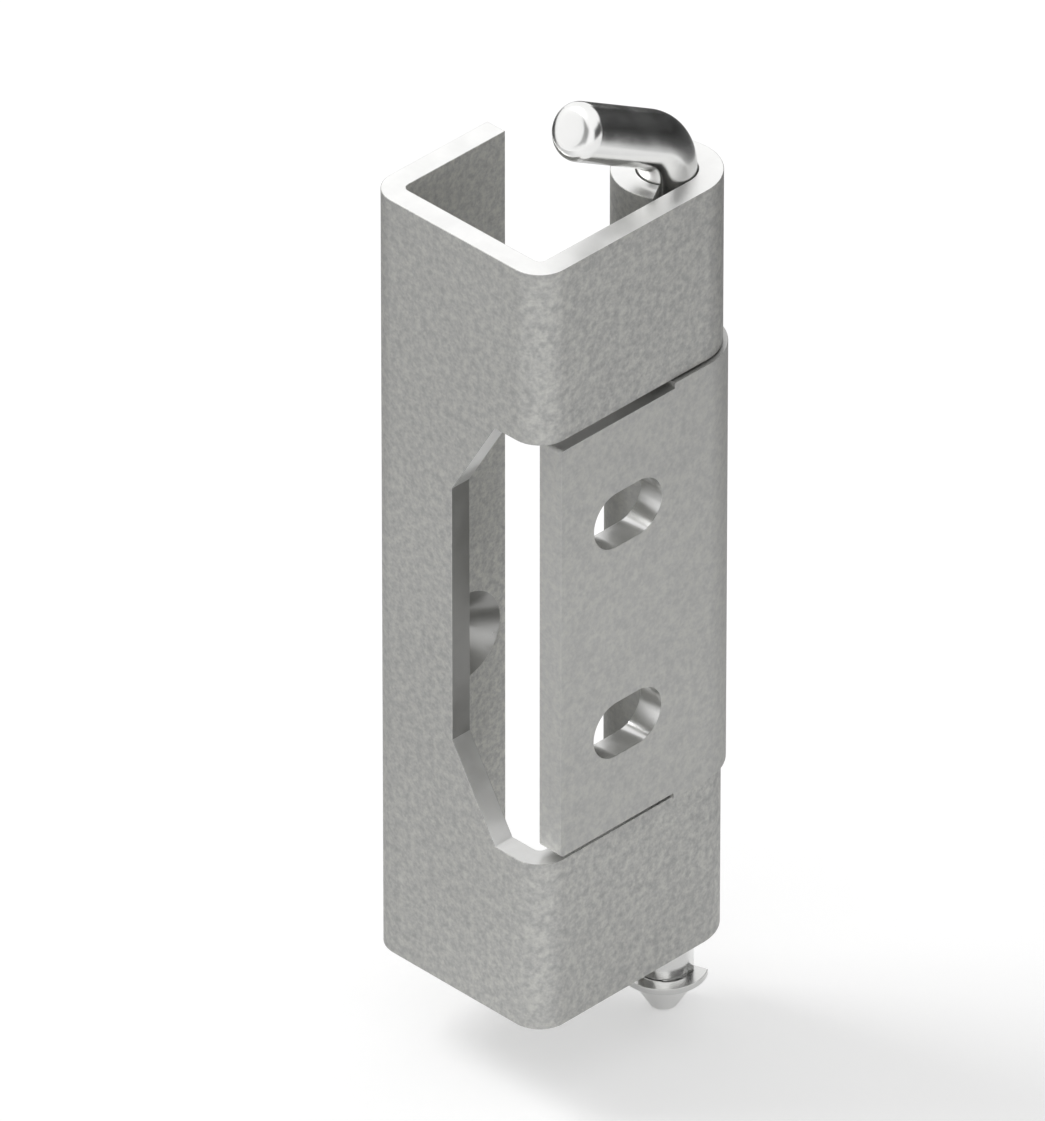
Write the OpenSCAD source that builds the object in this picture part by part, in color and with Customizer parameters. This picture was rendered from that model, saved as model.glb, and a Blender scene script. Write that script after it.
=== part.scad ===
/*
  Concealed cabinet hinge of stainless sheet, drawn closed and upright.
  A folded bracket ends in two rolled knuckles. A leaf with two slots ends in one
  longer knuckle between them. A bent pin runs down through all three, and a
  retaining ring below the bracket keeps it from being pulled out.

  Origin: midway between the bracket's two screw holes, on the flange's outside face.
  +Z runs up along the pin, +X from the flange to the leaf, +Y from the web to the pin.
  The modules work from the bracket's lower outside corner, and mounted() moves them.
*/

/* [Sheet] */
// Thickness of the bracket's sheet
bracket_sheet = 2.5; // [2:0.1:3]
// Thickness of the leaf's sheet
leaf_sheet = 3; // [2:0.1:3.5]
// Inside radius of the bracket's two bends
bend_r = 0.8; // [0.4:0.1:2]
// Gap left between a rolled edge and the sheet that it closes on
curl_gap = 0.2; // [0.1:0.05:0.5]

/* [Bracket] */
// Height of the bracket
bracket_h = 90; // [80:1:120]
// Outside width of the web, from the flange to the leg
web_w = 24; // [22:0.5:32]
// Width of the flat left between a countersink's rim and the flange's free edge
flange_rest = 0.7; // [0.1:0.05:4]
// Distance from the web's outside face to the pin's axis
pin_y = 23.2; // [23:0.1:32]

/* [Window] */
// Height of the leg and knuckle kept above and below the window
knuckle_h = 20; // [15:0.5:24]
// Width of the web left beside the window
web_rest = 11.75; // [8:0.25:14]
// Width of each slanted corner of the window
slant_w = 5.95; // [3:0.05:7]
// Height of each slanted corner of the window
slant_h = 10; // [5:0.5:14]

/* [Screws] */
// Distance between the bracket's screw holes, and between the leaf's slots
hole_spacing = 25; // [20:1:30]
// Distance from the web's outside face to the screw holes
hole_y = 10.9; // [10.5:0.1:11.5]
// Diameter of the screw holes
hole_d = 5.5; // [5.2:0.1:6.8]
// Straight depth of each screw hole left behind its countersink
hole_land = 0.15; // [0.1:0.05:0.6]
// Angle of the countersinks
sink_angle = 90; // [82:1:100]
// Width of the leaf's slots
slot_w = 6.4; // [5:0.1:7]
// Length of the leaf's slots, over their round ends
slot_l = 9.5; // [8:0.1:11]
// Distance from the line of the screw holes to the middle of the slots, towards the pin
slot_shift = 0.9; // [0:0.1:1.5]

/* [Leaf] */
// Distance from the web's outside face to the leaf's free edge
leaf_edge_y = 2.45; // [0:0.05:5]
// Corner radius at the leaf's free edge
leaf_corner_r = 0.5; // [0.2:0.1:2]
// Distance from the pin's axis over which the leaf keeps the full height of its knuckle
shoulder_l = 4.9; // [3.5:0.1:5]
// Height of the step from the knuckle down to the plate, at each end
shoulder_step = 0.65; // [0.3:0.05:1.5]
// Gap between the leaf's knuckle and the bracket's, at each end
leaf_play = 0.15; // [0.1:0.05:0.4]

/* [Pin] */
// Diameter of the pin
pin_d = 6; // [5:0.1:7]
// Gap all round between the pin and the knuckles
pin_play = 0.1; // [0.03:0.01:0.1]
// Radius of the pin's bend, to the middle of the rod
pin_bend_r = 5.4; // [4:0.1:9]
// Angle through which the pin's handle is bent over
pin_bend = 61; // [30:1:85]
// Length of the handle past the bend, to its end face
handle_l = 12.2; // [8:0.1:16]
// Radius of the rounding round the handle's end face
handle_round = 1.4; // [0.5:0.1:2]
// Direction in which the handle points, from +X towards +Y
handle_turn = 270; // [0:5:355]
// Length of full diameter left between the ring's groove and the taper
pin_shoulder = 1.25; // [0.8:0.05:3]
// Length of the taper at the pin's lower end
nose_l = 2.9; // [1:0.1:3]
// Diameter of the pin's lower end face
nose_d = 2.8; // [2:0.1:4]

/* [Retaining ring] */
// Gap between the bracket's lower edge and the ring, which is the pin's travel
ring_drop = 5.4; // [3:0.1:6]
// Thickness of the ring
ring_t = 0.7; // [0.5:0.05:0.9]
// Outside diameter of the ring
ring_d = 9; // [8.5:0.1:11]
// Diameter of the pin's groove
groove_d = 4; // [3.2:0.1:4.4]
// Gap between the ring and each side of its groove
groove_play = 0.05; // [0.02:0.01:0.1]
// Amount by which the ring's mouth is narrower than the groove that it snaps over
mouth_grip = 0.7; // [0.4:0.1:1]
// Distance from the axis to the ring's straight front edge
ring_front = 1.2; // [1:0.1:2]
// Depth of the ring's two relief pockets
pocket_depth = 1.15; // [0.6:0.05:1.4]
// Direction of the ring's mouth, from +X towards +Y
ring_turn = 108; // [0:1:359]

/* [Hidden] */
$fn = 96;

// Amount by which a cutting shape runs past the face that it opens
past = 1;

// The bracket's leg and the leaf's plate are both tangent to the pin's bore
bend_out = bend_r + bracket_sheet;
bore_r = pin_d / 2 + pin_play;
pin_x = web_w - bracket_sheet - bore_r;
window_h = bracket_h - 2 * knuckle_h;

// The countersink opens on the flange's inside face
sink_r = hole_d / 2 + (bracket_sheet - hole_land) * tan(sink_angle / 2);
flange_l = hole_y + sink_r + flange_rest;

// The leaf's knuckle fills the window's height, and its plate is a step lower
leaf_knuckle_h = window_h - 2 * leaf_play;
leaf_plate_h = leaf_knuckle_h - 2 * shoulder_step;
slot_y = hole_y + slot_shift;
leaf_reach = pin_y - leaf_edge_y;

// The pin ends below the ring in a short shoulder and a taper
pin_below = ring_drop + ring_t + groove_play + pin_shoulder + nose_l;

// The rod swells a little over its bend, and its straight ends run into the swelling
bend_swell = 0.02;
bend_sink = 0.3;

// The ring's tips and its middle tooth close on the groove, and its two pockets are
// given as angles from the direction of its mouth
grip_r = groove_d / 2 + groove_play;
mouth_w = groove_d - mouth_grip;
pocket_r = grip_r + pocket_depth;
pocket_from = 84;
pocket_to = 156;

// Pie slice about the origin from angle a0 to angle a1, reaching past the radius r
module slice(r, a0, a1) {
    steps = ceil((a1 - a0) / 45);
    rim = [for (i = [0:steps]) a0 + (a1 - a0) * i / steps];
    polygon(concat([[0, 0]], [for (a = rim) 1.2 * r * [cos(a), sin(a)]]));
}

// Section of sheet rolled or bent to an inside radius, from angle a0 to angle a1
module rolled(r_in, sheet, a0, a1) {
    intersection() {
        difference() {
            circle(r = r_in + sheet);
            circle(r = r_in);
        }
        slice(r_in + sheet, a0, a1);
    }
}

// Section of a knuckle that leaves its sheet on the +X side and curls over the pin
// until its edge almost meets the sheet again
module knuckle(sheet) {
    closing = acos((bore_r - curl_gap) / (bore_r + sheet));
    translate([pin_x, pin_y]) rolled(bore_r, sheet, 0, 360 - closing);
}

// Moves what is drawn from the bracket's lower outside corner to the part's origin
module mounted() {
    translate([0, -hole_y, -bracket_h / 2]) children();
}

// Calls its children at the two heights of the screw holes and slots
module at_holes() {
    for (side = [-1, 1])
        translate([0, 0, bracket_h / 2 + side * hole_spacing / 2]) children();
}

// Turns a drawing of Y and Z into a slab that stands from x = 0 to x = t
module slab_x(t) {
    rotate([90, 0, 90]) linear_extrude(t) children();
}

// Section through the bracket: flange, web and leg, and the rolled edge round the pin
module bracket_section() {
    translate([0, bend_out]) square([bracket_sheet, flange_l - bend_out]);
    translate([bend_out, bend_out]) rolled(bend_r, bracket_sheet, 180, 270);
    translate([bend_out, 0]) square([web_w - 2 * bend_out, bracket_sheet]);
    translate([web_w - bend_out, bend_out]) rolled(bend_r, bracket_sheet, 270, 360);
    translate([web_w - bracket_sheet, bend_out])
        square([bracket_sheet, pin_y - bend_out]);
    knuckle(bracket_sheet);
}

// Cut through the web, which narrows towards its top and bottom
module web_cut() {
    low = knuckle_h;
    high = knuckle_h + window_h;
    translate([0, 2 * bend_out, 0])
        rotate([90, 0, 0])
            linear_extrude(2 * bend_out + past)
                polygon([
                    [web_w + past, low],
                    [web_w + past, high],
                    [web_rest + slant_w, high],
                    [web_rest, high - slant_h],
                    [web_rest, low + slant_h],
                    [web_rest + slant_w, low]
                ]);
}

// Cut that takes the leg and its knuckle away between the web and the far side
module leg_cut() {
    knuckle_r = bore_r + bracket_sheet;
    translate([pin_x - knuckle_r - past, bend_out, knuckle_h])
        cube([2 * knuckle_r + 2 * past, pin_y + knuckle_r + past - bend_out, window_h]);
}

// Countersunk screw hole along X, with its rim on the flange's inside face
module screw_hole() {
    slope = tan(sink_angle / 2);
    rotate([0, 90, 0]) {
        translate([0, 0, -past]) cylinder(d = hole_d, h = bracket_sheet + past);
        translate([0, 0, hole_land])
            cylinder(
                r1 = hole_d / 2,
                r2 = sink_r + past * slope,
                h = bracket_sheet - hole_land + past
            );
    }
}

module bracket() {
    color("silver") mounted() difference() {
        linear_extrude(bracket_h) bracket_section();
        web_cut();
        leg_cut();
        at_holes() translate([0, hole_y, 0]) screw_hole();
    }
}

// Plate with rounded corners along its free edge, which is at y = 0
module free_edge_plate(l, h) {
    r = leaf_corner_r;
    translate([r, 0]) square([l - r, h]);
    translate([0, r]) square([l, h - 2 * r]);
    for (z = [r, h - r]) translate([r, z]) circle(r = r);
}

// Oblong hole that runs along Y
module slot() {
    run = slot_l - slot_w;
    square([run, slot_w], center = true);
    for (side = [-1, 1]) translate([side * run / 2, 0]) circle(d = slot_w);
}

// Outline of the leaf's flat part, from its free edge to the pin's axis
module leaf_outline() {
    plate_z = knuckle_h + leaf_play + shoulder_step;
    translate([leaf_edge_y, plate_z]) free_edge_plate(leaf_reach, leaf_plate_h);
    translate([pin_y - shoulder_l, knuckle_h + leaf_play])
        square([shoulder_l, leaf_knuckle_h]);
}

module leaf() {
    color("silver") mounted() {
        difference() {
            translate([pin_x + bore_r, 0, 0]) slab_x(leaf_sheet) leaf_outline();
            at_holes()
                translate([pin_x + bore_r - past, slot_y, 0])
                    slab_x(leaf_sheet + 2 * past) slot();
        }
        translate([0, 0, knuckle_h + leaf_play])
            linear_extrude(leaf_knuckle_h) knuckle(leaf_sheet);
    }
}

// Half section of the pin's straight rod, from its tapered end to just inside the bend
module rod_section() {
    groove_z = -ring_drop - ring_t - groove_play;
    groove_h = ring_t + 2 * groove_play;
    top = bracket_h + bend_sink;
    difference() {
        polygon([
            [0, -pin_below],
            [nose_d / 2, -pin_below],
            [pin_d / 2, -pin_below + nose_l],
            [pin_d / 2, top],
            [0, top]
        ]);
        translate([groove_d / 2, groove_z]) square([pin_d, groove_h]);
    }
}

// Half section of the handle, from just inside the bend to its rounded end
module handle_section() {
    r = handle_round;
    translate([0, -bend_sink]) square([pin_d / 2, handle_l - r + bend_sink]);
    square([pin_d / 2 - r, handle_l]);
    translate([pin_d / 2 - r, handle_l - r]) intersection() {
        circle(r = r);
        square(r);
    }
}

// Bend and handle, leaving the top of the rod and leaning over towards +X
module bent_handle() {
    translate([pin_bend_r, 0, 0]) rotate([90, 0, 0]) mirror([1, 0, 0]) {
        rotate_extrude(angle = pin_bend)
            translate([pin_bend_r, 0]) circle(r = pin_d / 2 + bend_swell);
        rotate([0, 0, pin_bend])
            translate([pin_bend_r, 0, 0])
                rotate([-90, 0, 0])
                    rotate_extrude() handle_section();
    }
}

module pin() {
    color("gainsboro") mounted() translate([pin_x, pin_y, 0]) {
        rotate_extrude() rod_section();
        translate([0, 0, bracket_h]) rotate([0, 0, handle_turn]) bent_handle();
    }
}

// Outline of the ring, with its mouth towards +X: two tips and one middle tooth bear
// on the groove, and two pockets between them let it spring
module ring_outline() {
    difference() {
        circle(d = ring_d);
        circle(r = grip_r);
        translate([0, -mouth_w / 2]) square([ring_d, mouth_w]);
        translate([ring_front, -ring_d]) square([ring_d, 2 * ring_d]);
        for (side = [-1, 1]) scale([1, side]) intersection() {
            circle(r = pocket_r);
            slice(pocket_r, pocket_from, pocket_to);
        }
    }
}

module retaining_ring() {
    color("lightgray") mounted()
        translate([pin_x, pin_y, -ring_drop - ring_t])
            rotate([0, 0, ring_turn])
                linear_extrude(ring_t) ring_outline();
}

bracket();
leaf();
pin();
retaining_ring();
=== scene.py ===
"""Looks of a concealed sheet-metal hinge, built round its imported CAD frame.

The scene is in metres in the row frame: the origin lies midway between the bracket's screw
holes on the flange's outside face, +Z runs up along the pin, +X from the flange to the leaf
and +Y from the web to the pin. Sizes of the object are in millimetres, and MM makes them metres.
"""

import math

import bmesh
import bpy
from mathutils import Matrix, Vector


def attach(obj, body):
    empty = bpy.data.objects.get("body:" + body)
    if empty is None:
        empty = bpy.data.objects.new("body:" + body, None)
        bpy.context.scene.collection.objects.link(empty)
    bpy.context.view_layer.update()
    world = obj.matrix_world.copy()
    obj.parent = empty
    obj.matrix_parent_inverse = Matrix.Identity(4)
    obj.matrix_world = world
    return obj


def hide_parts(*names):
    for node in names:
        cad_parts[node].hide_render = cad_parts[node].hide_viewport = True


MM = 0.001

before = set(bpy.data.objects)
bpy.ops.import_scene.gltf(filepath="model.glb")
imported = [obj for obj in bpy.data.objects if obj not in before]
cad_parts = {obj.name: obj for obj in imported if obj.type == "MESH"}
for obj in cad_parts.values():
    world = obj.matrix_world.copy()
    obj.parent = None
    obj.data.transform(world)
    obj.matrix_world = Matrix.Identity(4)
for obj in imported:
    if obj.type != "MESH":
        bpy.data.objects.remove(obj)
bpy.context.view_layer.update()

# The pin, in millimetres: its axis, its rod and how its handle is bent over
PIN_AXIS = Vector((18.4, 12.3, 0.0))
PIN_R = 3.0
PIN_TOP = 45.0
PIN_LOW = -55.3
NOSE_R = 1.4
NOSE_TOP = -52.4
GROOVE_R = 2.0
GROOVE_LOW = -51.15
GROOVE_HIGH = -50.35
BEND_R = 5.4
BEND = math.radians(61)
HANDLE_L = 12.2
HANDLE_ROUND = 1.4
LEAN = Vector((0.0, -1.0, 0.0))

# Places and sizes by which the cut faces are told apart, in millimetres
WEB_INSIDE_Y = -8.4
FLANGE_INSIDE_X = 2.5
LEG_INSIDE_X = 21.5
BRACKET_END = 45.0
HOLE_SPACING = 25.0
SINK_R = 5.1
SLOT_Y = 0.9
SLOT_L = 9.5
SLOT_W = 6.4

# Painted light on the faces that line the bracket's channel, in millimetres: it sets in over
# INSIDE_X and INSIDE_Y, within the flange's and the web's sheet, fades out towards the leg over
# INSIDE_FADE_X, and multiplies the sheet's colour by the last number here, which lightens them
INSIDE_X = (2.2, 2.4)
INSIDE_FADE_X = (6.0, 16.0)
INSIDE_Y = (-8.7, -8.5)
INSIDE_PAINTED_LIGHT = 1.4

# Widths to which outer edges are rounded, in millimetres. The bracket's stays under half of
# the 0.15 mm that is straight in its screw holes, so that two roundings never meet there.
BRACKET_EASE = 0.07
LEAF_EASE = 0.05
RING_EASE = 0.05

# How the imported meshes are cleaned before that: the distance in millimetres within which
# points are one, and the angles in degrees below which faces are flat and above which an
# edge is sharp
MERGE = 0.001
FLAT = 0.3
SHARP = 30

# A face looks along an axis where its normal's part along it is over FACING, and leans
# towards it over TILTED. NEAR is the play, in millimetres, when a face's place is compared,
# and PAST_BEND, also in millimetres, keeps the window's upright side apart from the flange.
FACING = 0.9
TILTED = 0.3
NEAR = 0.1
PAST_BEND = 1.0

# The rod's finer shape, in millimetres: the roundings of its nose and groove, how far along
# and how deep the taper's upper edge is blunted, the heights of the rings of points on its
# straight part, two more rings as shares of the handle and of its end face, and the numbers
# of steps in its bend and of points round it
NOSE_EDGE = 0.3
GROOVE_EDGE = 0.12
TAPER_EDGE_L = 0.1
TAPER_EDGE_R = 0.06
ROD_RINGS = (-49, -45, -22.5, 0, 22.5, 40)
HANDLE_RING = 0.6
END_RING = 0.5
BEND_STEPS = 24
AROUND = 96

# Studio, in metres. The world's strength is WORLD_LIGHT for diffuse light and 1 where it is
# seen. The floor glows by FLOOR_GLOW where it is seen, which shows it white near the object.
FLOOR_Z = PIN_LOW * MM
FLOOR_HALF = 6.0
FLOOR_TONE = 0.8
FLOOR_GLOW = 0.27
WORLD_LIGHT = 0.7
KEY_PLACE = (-0.9, -0.5, 1.3)
KEY_SIZE = 0.7
KEY_WATTS = 10.0

# Matt cards and a mat that only reflections show, in metres: painted reflections, whose tones
# set the light and dark bands on the metal. Each card is its name, its arc in degrees from +X
# to +Y, its low and high edge as (radius, height), and its tone at each.
MAT_Z = FLOOR_Z + 0.0003
MAT_RADII = (0.002, 0.60)
CARD_Z = FLOOR_Z + 0.0006
CARDS = (
    ("card_floor", (40, 142), (0.145, CARD_Z), (0.27, CARD_Z), (0.42, 0.10)),
    ("card_back", (40, 138), (0.27, CARD_Z), (0.27, 0.07), (0.10, 0.02)),
    ("card_back_high", (46, 112), (0.27, 0.07), (0.27, 0.19), (0.05, 0.07)),
    ("card_left", (158, 220), (0.15, CARD_Z), (0.27, 0.05), (0.05, 0.05)),
    ("card_ring", (246, 290), (0.25, 0.09), (0.25, 0.26), (0.38, 0.38)),
    ("card_front", (-18, 44), (0.25, 0.075), (0.25, 0.25), (0.06, 0.05)),
)

# The mat's tone, a painted reflection: its base, what it gains in front and near the pin as
# painted light, and its limit. In front is where MAT_FRONT_X times x plus MAT_FRONT_Y times y
# rises through MAT_FRONT_SPAN, and near is where the distance to MAT_NEAR_POINT falls through
# MAT_NEAR_SPAN, in metres.
MAT_TONE = 0.58
MAT_FRONT_GAIN = 0.40
MAT_NEAR_GAIN = 0.35
MAT_TONE_LIMIT = 0.97
MAT_FRONT_X = 1.6
MAT_FRONT_Y = -0.5
MAT_FRONT_SPAN = (-0.12, 0.20)
MAT_NEAR_POINT = (0.030, 0.008)
MAT_NEAR_SPAN = (0.010, 0.060)

# Camera: its direction in degrees, the point it looks at in millimetres, and its distance
# from that point in metres
VIEW_AZIMUTH = 45
VIEW_ELEVATION = 34.3
VIEW_TARGET = Vector((9.96, 0.73, 0.0))
VIEW_DISTANCE = 2.391
VIEW_LENS = 776.36


# Shader helpers

class Nodes:
    """Short calls for building a node tree."""

    def __init__(self, tree):
        self.tree = tree
        tree.nodes.clear()

    def add(self, kind, **settings):
        n = self.tree.nodes.new(kind)
        for key, value in settings.items():
            setattr(n, key, value)
        return n

    def link(self, a, b):
        self.tree.links.new(a, b)

    def put(self, socket, value):
        """Links value if it is a socket, and sets it if it is a number or colour."""
        if isinstance(value, bpy.types.NodeSocket):
            self.link(value, socket)
        else:
            socket.default_value = value

    def math(self, operation, a, b):
        n = self.add("ShaderNodeMath", operation=operation)
        self.put(n.inputs[0], a)
        self.put(n.inputs[1], b)
        return n.outputs[0]

    def ramp(self, value, low, high, to_low, to_high):
        """Eases from to_low to to_high while value runs from low to high."""
        n = self.add("ShaderNodeMapRange", interpolation_type="SMOOTHSTEP")
        for i, x in enumerate((value, low, high, to_low, to_high)):
            self.put(n.inputs[i], x)
        return n.outputs[0]

    def noise(self, vector, scale, detail, roughness):
        n = self.add("ShaderNodeTexNoise")
        self.put(n.inputs["Vector"], vector)
        n.inputs["Scale"].default_value = scale
        n.inputs["Detail"].default_value = detail
        n.inputs["Roughness"].default_value = roughness
        return n.outputs["Fac"]

    def mix_colour(self, share, a, b):
        n = self.add("ShaderNodeMix", data_type="RGBA")
        self.put(n.inputs[0], share)
        self.put(n.inputs[6], a)
        self.put(n.inputs[7], b)
        return n.outputs[2]

    def scaled(self, colour, factor):
        n = self.add("ShaderNodeVectorMath", operation="SCALE")
        self.put(n.inputs[0], colour)
        self.put(n.inputs["Scale"], factor)
        return n.outputs[0]


def sheet_steel(name, colour, grain, roughness, painted_light_tone=1.0):
    """Satin stainless sheet with a fine mottled grain. On the faces that line the bracket's
    channel its colour is multiplied by the last argument, a painted light that lightens them."""
    m = bpy.data.materials.new(name)
    m.use_nodes = True
    n = Nodes(m.node_tree)
    out = n.add("ShaderNodeOutputMaterial")
    steel = n.add("ShaderNodeBsdfPrincipled")
    n.link(steel.outputs[0], out.inputs[0])
    place = n.add("ShaderNodeTexCoord").outputs["Object"]

    blotch = n.noise(place, scale=1200.0, detail=3.0, roughness=0.65)
    fleck = n.noise(place, scale=3200.0, detail=1.0, roughness=0.5)
    cloud = n.noise(place, scale=60.0, detail=2.0, roughness=0.5)
    mottle = n.math("ADD", n.math("MULTIPLY", blotch, 0.75), n.math("MULTIPLY", fleck, 0.25))
    tone = n.ramp(mottle, 0.25, 0.75, 1.0 - grain, 1.0 + grain)
    tone = n.math("MULTIPLY", tone, n.ramp(cloud, 0.3, 0.7, 0.985, 1.015))
    warm = n.mix_colour(n.ramp(blotch, 0.4, 0.65, 0.0, 1.0), (*colour, 1.0),
                        (colour[0] * 1.01, colour[1] * 1.01, colour[2] * 0.985, 1.0))
    xyz = n.add("ShaderNodeSeparateXYZ")
    n.link(place, xyz.inputs[0])
    # Painted light: lightens the faces that line the bracket's channel
    channel_painted_light = n.math("MULTIPLY",
                    n.ramp(xyz.outputs["X"], *(x * MM for x in INSIDE_X), 0.0, 1.0),
                    n.ramp(xyz.outputs["X"], *(x * MM for x in INSIDE_FADE_X), 1.0, 0.0))
    channel_painted_light = n.math("MULTIPLY", channel_painted_light,
                    n.ramp(xyz.outputs["Y"], *(y * MM for y in INSIDE_Y), 0.0, 1.0))
    tone = n.math("MULTIPLY", tone, n.ramp(channel_painted_light, 0.0, 1.0, 1.0, painted_light_tone))
    n.link(n.scaled(warm, tone), steel.inputs["Base Color"])
    steel.inputs["Metallic"].default_value = 1.0
    n.link(n.ramp(mottle, 0.25, 0.75, roughness + 0.05, roughness - 0.05),
           steel.inputs["Roughness"])

    bump = n.add("ShaderNodeBump")
    bump.inputs["Strength"].default_value = 0.25
    bump.inputs["Distance"].default_value = 0.01 * MM
    n.link(mottle, bump.inputs["Height"])
    n.link(bump.outputs[0], steel.inputs["Normal"])
    return m


def bright_steel(name, colour, roughness, marks):
    """Bright steel, as drawn or sheared: a faint haze and fine marks."""
    m = bpy.data.materials.new(name)
    m.use_nodes = True
    n = Nodes(m.node_tree)
    out = n.add("ShaderNodeOutputMaterial")
    steel = n.add("ShaderNodeBsdfPrincipled")
    n.link(steel.outputs[0], out.inputs[0])
    place = n.add("ShaderNodeTexCoord").outputs["Object"]
    haze = n.noise(place, scale=350.0, detail=3.0, roughness=0.6)
    fine = n.noise(place, scale=4000.0, detail=1.0, roughness=0.5)
    tone = n.ramp(haze, 0.25, 0.75, 1.0 - marks, 1.0 + 0.5 * marks)
    n.link(n.scaled(colour, tone), steel.inputs["Base Color"])
    steel.inputs["Metallic"].default_value = 1.0
    rough = n.ramp(haze, 0.3, 0.7, roughness - 0.03, roughness + 0.05)
    n.link(rough, steel.inputs["Roughness"])
    bump = n.add("ShaderNodeBump")
    bump.inputs["Strength"].default_value = 0.15
    bump.inputs["Distance"].default_value = 0.004 * MM
    n.link(fine, bump.inputs["Height"])
    n.link(bump.outputs[0], steel.inputs["Normal"])
    return m


# Pieces

def finished(name, bm, materials, node):
    """Makes the mesh an object that stands for a CAD node and rides on its body."""
    mesh = bpy.data.meshes.new(name)
    bm.to_mesh(mesh)
    bm.free()
    for face in mesh.polygons:
        face.use_smooth = True
    for material in materials:
        mesh.materials.append(material)
    piece = bpy.data.objects.new(name, mesh)
    bpy.context.scene.collection.objects.link(piece)
    even = piece.modifiers.new("even_normals", "WEIGHTED_NORMAL")
    even.weight = 100
    even.keep_sharp = False
    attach(piece, node)
    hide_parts(node)


def eased(node, name, materials, width, sheared=None):
    """A sheet part: the CAD form with its outer edges rounded to width, in millimetres.
    sheared(face) gives the number of the material that a cut face takes, or 0."""
    bm = bmesh.new()
    bm.from_mesh(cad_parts[node].data)
    bmesh.ops.remove_doubles(bm, verts=bm.verts, dist=MERGE * MM)
    bmesh.ops.dissolve_limit(bm, angle_limit=math.radians(FLAT), verts=bm.verts,
                             edges=bm.edges)
    for face in bm.faces:
        face.material_index = sheared(face) if sheared else 0
    sharp = [e for e in bm.edges
             if e.is_convex and e.calc_face_angle() > math.radians(SHARP)]
    bmesh.ops.bevel(bm, geom=sharp, offset=width * MM, offset_type="OFFSET", segments=3,
                    profile=0.5, affect="EDGES", clamp_overlap=True)
    finished(name, bm, materials, node)


def at_hole(point, y, reach_y, reach_z):
    """Whether a point, in millimetres, lies in one of the two holes or slots at y."""
    return (abs(point.y - y) < reach_y
            and abs(abs(point.z) - HOLE_SPACING / 2) < reach_z)


def bracket_sheared(face):
    """The bracket's cut faces: 1 both ends and the free edge, 2 the window's ends and
    slants, 3 the holes, 4 the window's upright side, whose darker look is painted shade."""
    n, c = face.normal, face.calc_center_median() / MM
    if abs(n.x) < FACING and c.x < FLANGE_INSIDE_X and at_hole(c, 0.0, SINK_R, SINK_R):
        return 3
    if abs(n.z) > FACING and abs(c.z) > BRACKET_END - NEAR:
        return 1
    if n.y > FACING and NEAR < c.x < FLANGE_INSIDE_X:
        return 1
    in_web = c.y < WEB_INSIDE_Y + NEAR and abs(n.y) < TILTED
    if in_web and n.x > FACING and FLANGE_INSIDE_X + PAST_BEND < c.x < LEG_INSIDE_X:
        return 4
    return 2 if abs(n.z) > FACING or (in_web and abs(n.z) > TILTED) else 0


def leaf_sheared(face):
    """The leaf's cut faces: 1 the walls of the slots, 2 the upper end, whose darker look is
    painted shade.
    """
    n, c = face.normal, face.calc_center_median() / MM
    if abs(n.x) < TILTED and at_hole(c, SLOT_Y, SLOT_L / 2 + NEAR, SLOT_W / 2 + NEAR):
        return 1
    return 2 if n.z > FACING else 0


def rod_place(s):
    """Point on the pin's centreline at length s past the bend's start, and the two
    directions across it, in millimetres."""
    up = Vector((0.0, 0.0, 1.0))
    start = PIN_AXIS + up * PIN_TOP
    t = min(max(s / BEND_R, 0.0), BEND)
    along = LEAN * math.sin(t) + up * math.cos(t)
    across = LEAN * math.cos(t) - up * math.sin(t)
    point = start + LEAN * BEND_R * (1 - math.cos(t)) + up * BEND_R * math.sin(t)
    straight = s if s < 0 else max(s - BEND_R * BEND, 0.0)
    return point + along * straight, across, along.cross(across)


def arc(s0, r0, size, a0, a1, steps):
    """Rounding of the rod's outline about (s0, r0), from angle a0 to a1 in degrees."""
    turn = [math.radians(a0 + (a1 - a0) * i / steps) for i in range(steps + 1)]
    return [(s0 + size * math.sin(a), r0 + size * math.cos(a)) for a in turn]


def rod_outline():
    """(length past the bend's start, radius) down the whole pin, from nose to handle."""
    def low(z):
        return z - PIN_TOP

    edge = GROOVE_EDGE
    out = [(low(PIN_LOW), 0.0)]
    out += arc(low(PIN_LOW) + NOSE_EDGE, NOSE_R - NOSE_EDGE, NOSE_EDGE, -90, -30, 4)
    out += [(low(NOSE_TOP) - TAPER_EDGE_L, PIN_R - TAPER_EDGE_R)]
    out += [(low(NOSE_TOP) + TAPER_EDGE_L, PIN_R)]
    out += arc(low(GROOVE_LOW) - edge, PIN_R - edge, edge, 0, 90, 3)
    out += [(low(GROOVE_LOW), GROOVE_R), (low(GROOVE_HIGH), GROOVE_R)]
    out += arc(low(GROOVE_HIGH) + edge, PIN_R - edge, edge, -90, 0, 3)
    out += [(low(z), PIN_R) for z in ROD_RINGS]
    out += [(BEND_R * BEND * i / BEND_STEPS, PIN_R) for i in range(BEND_STEPS + 1)]
    end = BEND_R * BEND + HANDLE_L
    out += [(end - HANDLE_L * HANDLE_RING, PIN_R)]
    out += arc(end - HANDLE_ROUND, PIN_R - HANDLE_ROUND, HANDLE_ROUND, 0, 90, 10)
    out += [(end, (PIN_R - HANDLE_ROUND) * END_RING), (end, 0.0)]
    return out


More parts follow.
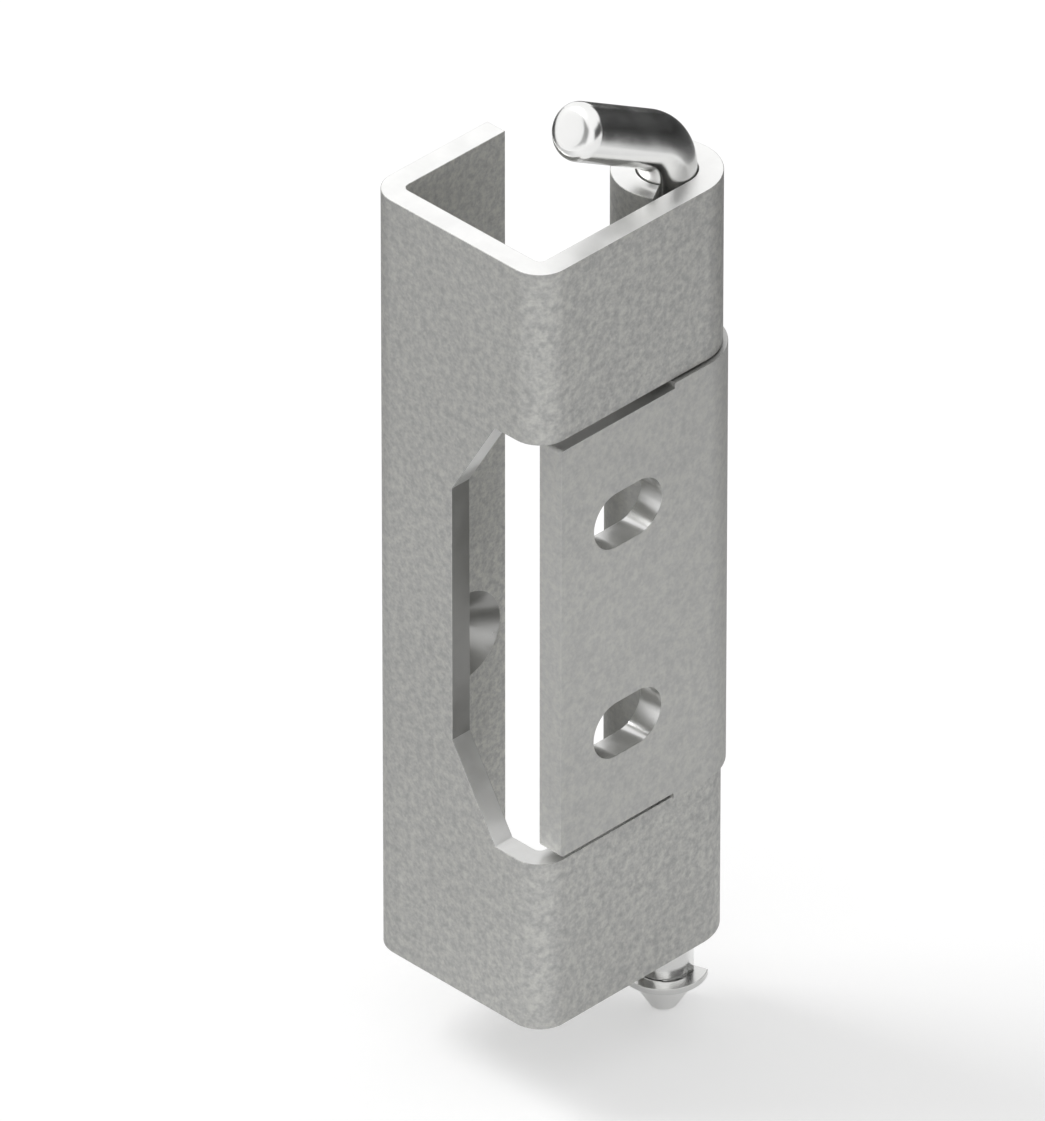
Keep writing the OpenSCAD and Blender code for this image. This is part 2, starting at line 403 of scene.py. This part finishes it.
def bent_rod(name, material):
    """The pin as one drawn rod, bent over at the top."""
    bm = bmesh.new()
    rings = []
    for s, r in rod_outline():
        point, across, aside = rod_place(s)
        count = AROUND if r > 0 else 1
        turn = [math.tau * i / AROUND for i in range(count)]
        rings.append([bm.verts.new((point + (across * math.cos(a) + aside * math.sin(a)) * r)
                                   * MM) for a in turn])
    for below, above in zip(rings, rings[1:]):
        for i in range(AROUND):
            j = (i + 1) % AROUND
            a, b = below[i % len(below)], below[j % len(below)]
            c, d = above[j % len(above)], above[i % len(above)]
            corners = (a, b, c, d)
            bm.faces.new([v for k, v in enumerate(corners) if v not in corners[:k]])
    bmesh.ops.recalc_face_normals(bm, faces=bm.faces)
    finished(name, bm, [material], "pin")


# The bracket's sheet carries painted light on the faces of its channel
bracket_look = sheet_steel("bracket_look", (0.53, 0.53, 0.52), grain=0.17, roughness=0.62,
                           painted_light_tone=INSIDE_PAINTED_LIGHT)
leaf_look = sheet_steel("leaf_look", (0.55, 0.55, 0.54), grain=0.08, roughness=0.62)
end_look = bright_steel("end_look", (0.96, 0.96, 0.95), roughness=0.38, marks=0.04)
window_look = bright_steel("window_look", (0.93, 0.93, 0.92), roughness=0.42, marks=0.06)
# A darker copy of the cut steel, painted with shade, for the window's upright side and the
# leaf's upper end
cut_painted_shade_look = bright_steel("cut_painted_shade_look", (0.53, 0.53, 0.52), roughness=0.42, marks=0.06)
sink_look = bright_steel("sink_look", (0.52, 0.52, 0.51), roughness=0.30, marks=0.05)
slot_look = bright_steel("slot_look", (0.86, 0.86, 0.85), roughness=0.22, marks=0.05)
pin_look = bright_steel("pin_look", (0.93, 0.93, 0.92), roughness=0.21, marks=0.03)
ring_look = bright_steel("ring_look", (0.78, 0.78, 0.77), roughness=0.20, marks=0.04)

bracket_looks = [bracket_look, end_look, window_look, sink_look, cut_painted_shade_look]
leaf_looks = [leaf_look, slot_look, cut_painted_shade_look]
eased("bracket", "bracket_folded", bracket_looks, BRACKET_EASE, bracket_sheared)
eased("leaf", "leaf_rolled", leaf_looks, LEAF_EASE, leaf_sheared)
eased("retaining_ring", "ring_stamped", [ring_look], RING_EASE)
bent_rod("pin_drawn", pin_look)


# Studio

def seen_directly(n):
    """1 for the rays of the camera and of reflections and refractions, 0 for diffuse light."""
    rays = n.add("ShaderNodeLightPath")
    seen = n.math("MAXIMUM", rays.outputs["Is Camera Ray"], rays.outputs["Is Glossy Ray"])
    return n.math("MAXIMUM", seen, rays.outputs["Is Transmission Ray"])


def floor_look():
    """Pale floor that shows white near the object and keeps its shadow."""
    m = bpy.data.materials.new("floor_look")
    m.use_nodes = True
    n = Nodes(m.node_tree)
    out = n.add("ShaderNodeOutputMaterial")
    paint = n.add("ShaderNodeBsdfDiffuse")
    paint.inputs["Color"].default_value = (FLOOR_TONE, FLOOR_TONE, FLOOR_TONE, 1.0)
    glow = n.add("ShaderNodeEmission")
    n.link(n.math("MULTIPLY", seen_directly(n), FLOOR_GLOW), glow.inputs["Strength"])
    both = n.add("ShaderNodeAddShader")
    n.link(paint.outputs[0], both.inputs[0])
    n.link(glow.outputs[0], both.inputs[1])
    n.link(both.outputs[0], out.inputs[0])
    return m


def make_floor():
    half, z = FLOOR_HALF, FLOOR_Z
    mesh = bpy.data.meshes.new("floor")
    mesh.from_pydata([(-half, -half, z), (half, -half, z), (half, half, z), (-half, half, z)],
                     [], [(0, 1, 2, 3)])
    mesh.materials.append(floor_look())
    floor = bpy.data.objects.new("floor", mesh)
    bpy.context.scene.collection.objects.link(floor)


def make_world():
    world = bpy.data.worlds.new("studio")
    world.use_nodes = True
    bpy.context.scene.world = world
    n = Nodes(world.node_tree)
    out = n.add("ShaderNodeOutputWorld")
    back = n.add("ShaderNodeBackground")
    back.inputs["Color"].default_value = (1.0, 1.0, 1.0, 1.0)
    n.link(n.ramp(seen_directly(n), 0.0, 1.0, WORLD_LIGHT, 1.0), back.inputs["Strength"])
    n.link(back.outputs[0], out.inputs[0])


def smooth(value, low, high):
    """Eases from 0 to 1 while value runs from low to high."""
    t = min(max((value - low) / (high - low), 0.0), 1.0)
    return t * t * (3.0 - 2.0 * t)


def fade(low, high):
    """Tone of a card, from low at its low edge to high at its high edge."""
    return lambda x, y, t: low + (high - low) * t


def mat_painted_reflection_tone(x, y, t):
    """Tone of the mat at a point, a painted reflection that is lighter on the leaf's side and
    near the pin.
    """
    front = smooth(MAT_FRONT_X * x + MAT_FRONT_Y * y, *MAT_FRONT_SPAN)
    distance = math.hypot(x - MAT_NEAR_POINT[0], y - MAT_NEAR_POINT[1])
    near = 1.0 - smooth(distance, *MAT_NEAR_SPAN)
    return min(MAT_TONE + MAT_FRONT_GAIN * front + MAT_NEAR_GAIN * near, MAT_TONE_LIMIT)


def card(name, arc_span, low, high, tone, steps=12, rows=8):
    """A matt card or mat bent round the object through arc_span, in degrees from +X to +Y.
    low and high are the (radius, height) of its two long edges, and tone(x, y, t) is its tone
    at a share t of the way from low to high. Only reflections show it, as a painted reflection."""
    start, end = arc_span
    turn = [math.radians(start + (end - start) * i / steps) for i in range(steps + 1)]
    points, tones, faces = [], [], []
    for j in range(rows + 1):
        t = j / rows
        r, z = (low[k] + (high[k] - low[k]) * t for k in (0, 1))
        for a in turn:
            x, y = r * math.cos(a), r * math.sin(a)
            points.append((x, y, z))
            tones += [tone(x, y, t)] * 3 + [1.0]
        if j < rows:
            first = j * (steps + 1)
            faces += [(first + i, first + i + 1, first + i + steps + 2, first + i + steps + 1)
                      for i in range(steps)]
    mesh = bpy.data.meshes.new(name)
    mesh.from_pydata(points, [], faces)
    mesh.color_attributes.new("tone", "FLOAT_COLOR", "POINT").data.foreach_set("color", tones)
    m = bpy.data.materials.new(name)
    m.use_nodes = True
    n = Nodes(m.node_tree)
    paint = n.add("ShaderNodeBsdfDiffuse")
    n.link(n.add("ShaderNodeAttribute", attribute_name="tone").outputs["Color"],
           paint.inputs["Color"])
    n.link(paint.outputs[0], n.add("ShaderNodeOutputMaterial").inputs[0])
    mesh.materials.append(m)
    o = bpy.data.objects.new(name, mesh)
    for ray in ("camera", "diffuse", "transmission", "volume_scatter", "shadow"):
        setattr(o, "visible_" + ray, False)
    bpy.context.scene.collection.objects.link(o)


def lamp(name, place, target, size, watts):
    light = bpy.data.lights.new(name, "AREA")
    light.shape = "SQUARE"
    light.size = size
    light.energy = watts
    o = bpy.data.objects.new(name, light)
    o.location = place
    o.rotation_mode = "QUATERNION"
    o.rotation_quaternion = (Vector(target) - Vector(place)).to_track_quat("-Z", "Y")
    bpy.context.scene.collection.objects.link(o)


def make_camera():
    azimuth, elevation = math.radians(VIEW_AZIMUTH), math.radians(VIEW_ELEVATION)
    back = Vector((math.sin(azimuth) * math.cos(elevation),
                   -math.cos(azimuth) * math.cos(elevation), math.sin(elevation)))
    data = bpy.data.cameras.new("camera")
    data.lens = VIEW_LENS
    data.clip_start = 0.1
    data.clip_end = 50.0
    cam = bpy.data.objects.new("camera", data)
    cam.location = VIEW_TARGET * MM + back * VIEW_DISTANCE
    cam.rotation_mode = "QUATERNION"
    cam.rotation_quaternion = (-back).to_track_quat("-Z", "Y")
    bpy.context.scene.collection.objects.link(cam)
    bpy.context.scene.camera = cam


make_floor()
make_world()
# Painted reflections: the mat and the cards, which only reflections show
card("mat", (0, 360), (MAT_RADII[0], MAT_Z), (MAT_RADII[1], MAT_Z), mat_painted_reflection_tone, steps=96, rows=60)
for card_name, arc_span, low_edge, high_edge, tones in CARDS:
    card(card_name, arc_span, low_edge, high_edge, fade(*tones))
lamp("key", KEY_PLACE, (0, 0, 0), KEY_SIZE, KEY_WATTS)
make_camera()
bpy.context.scene.view_settings.view_transform = "Standard"
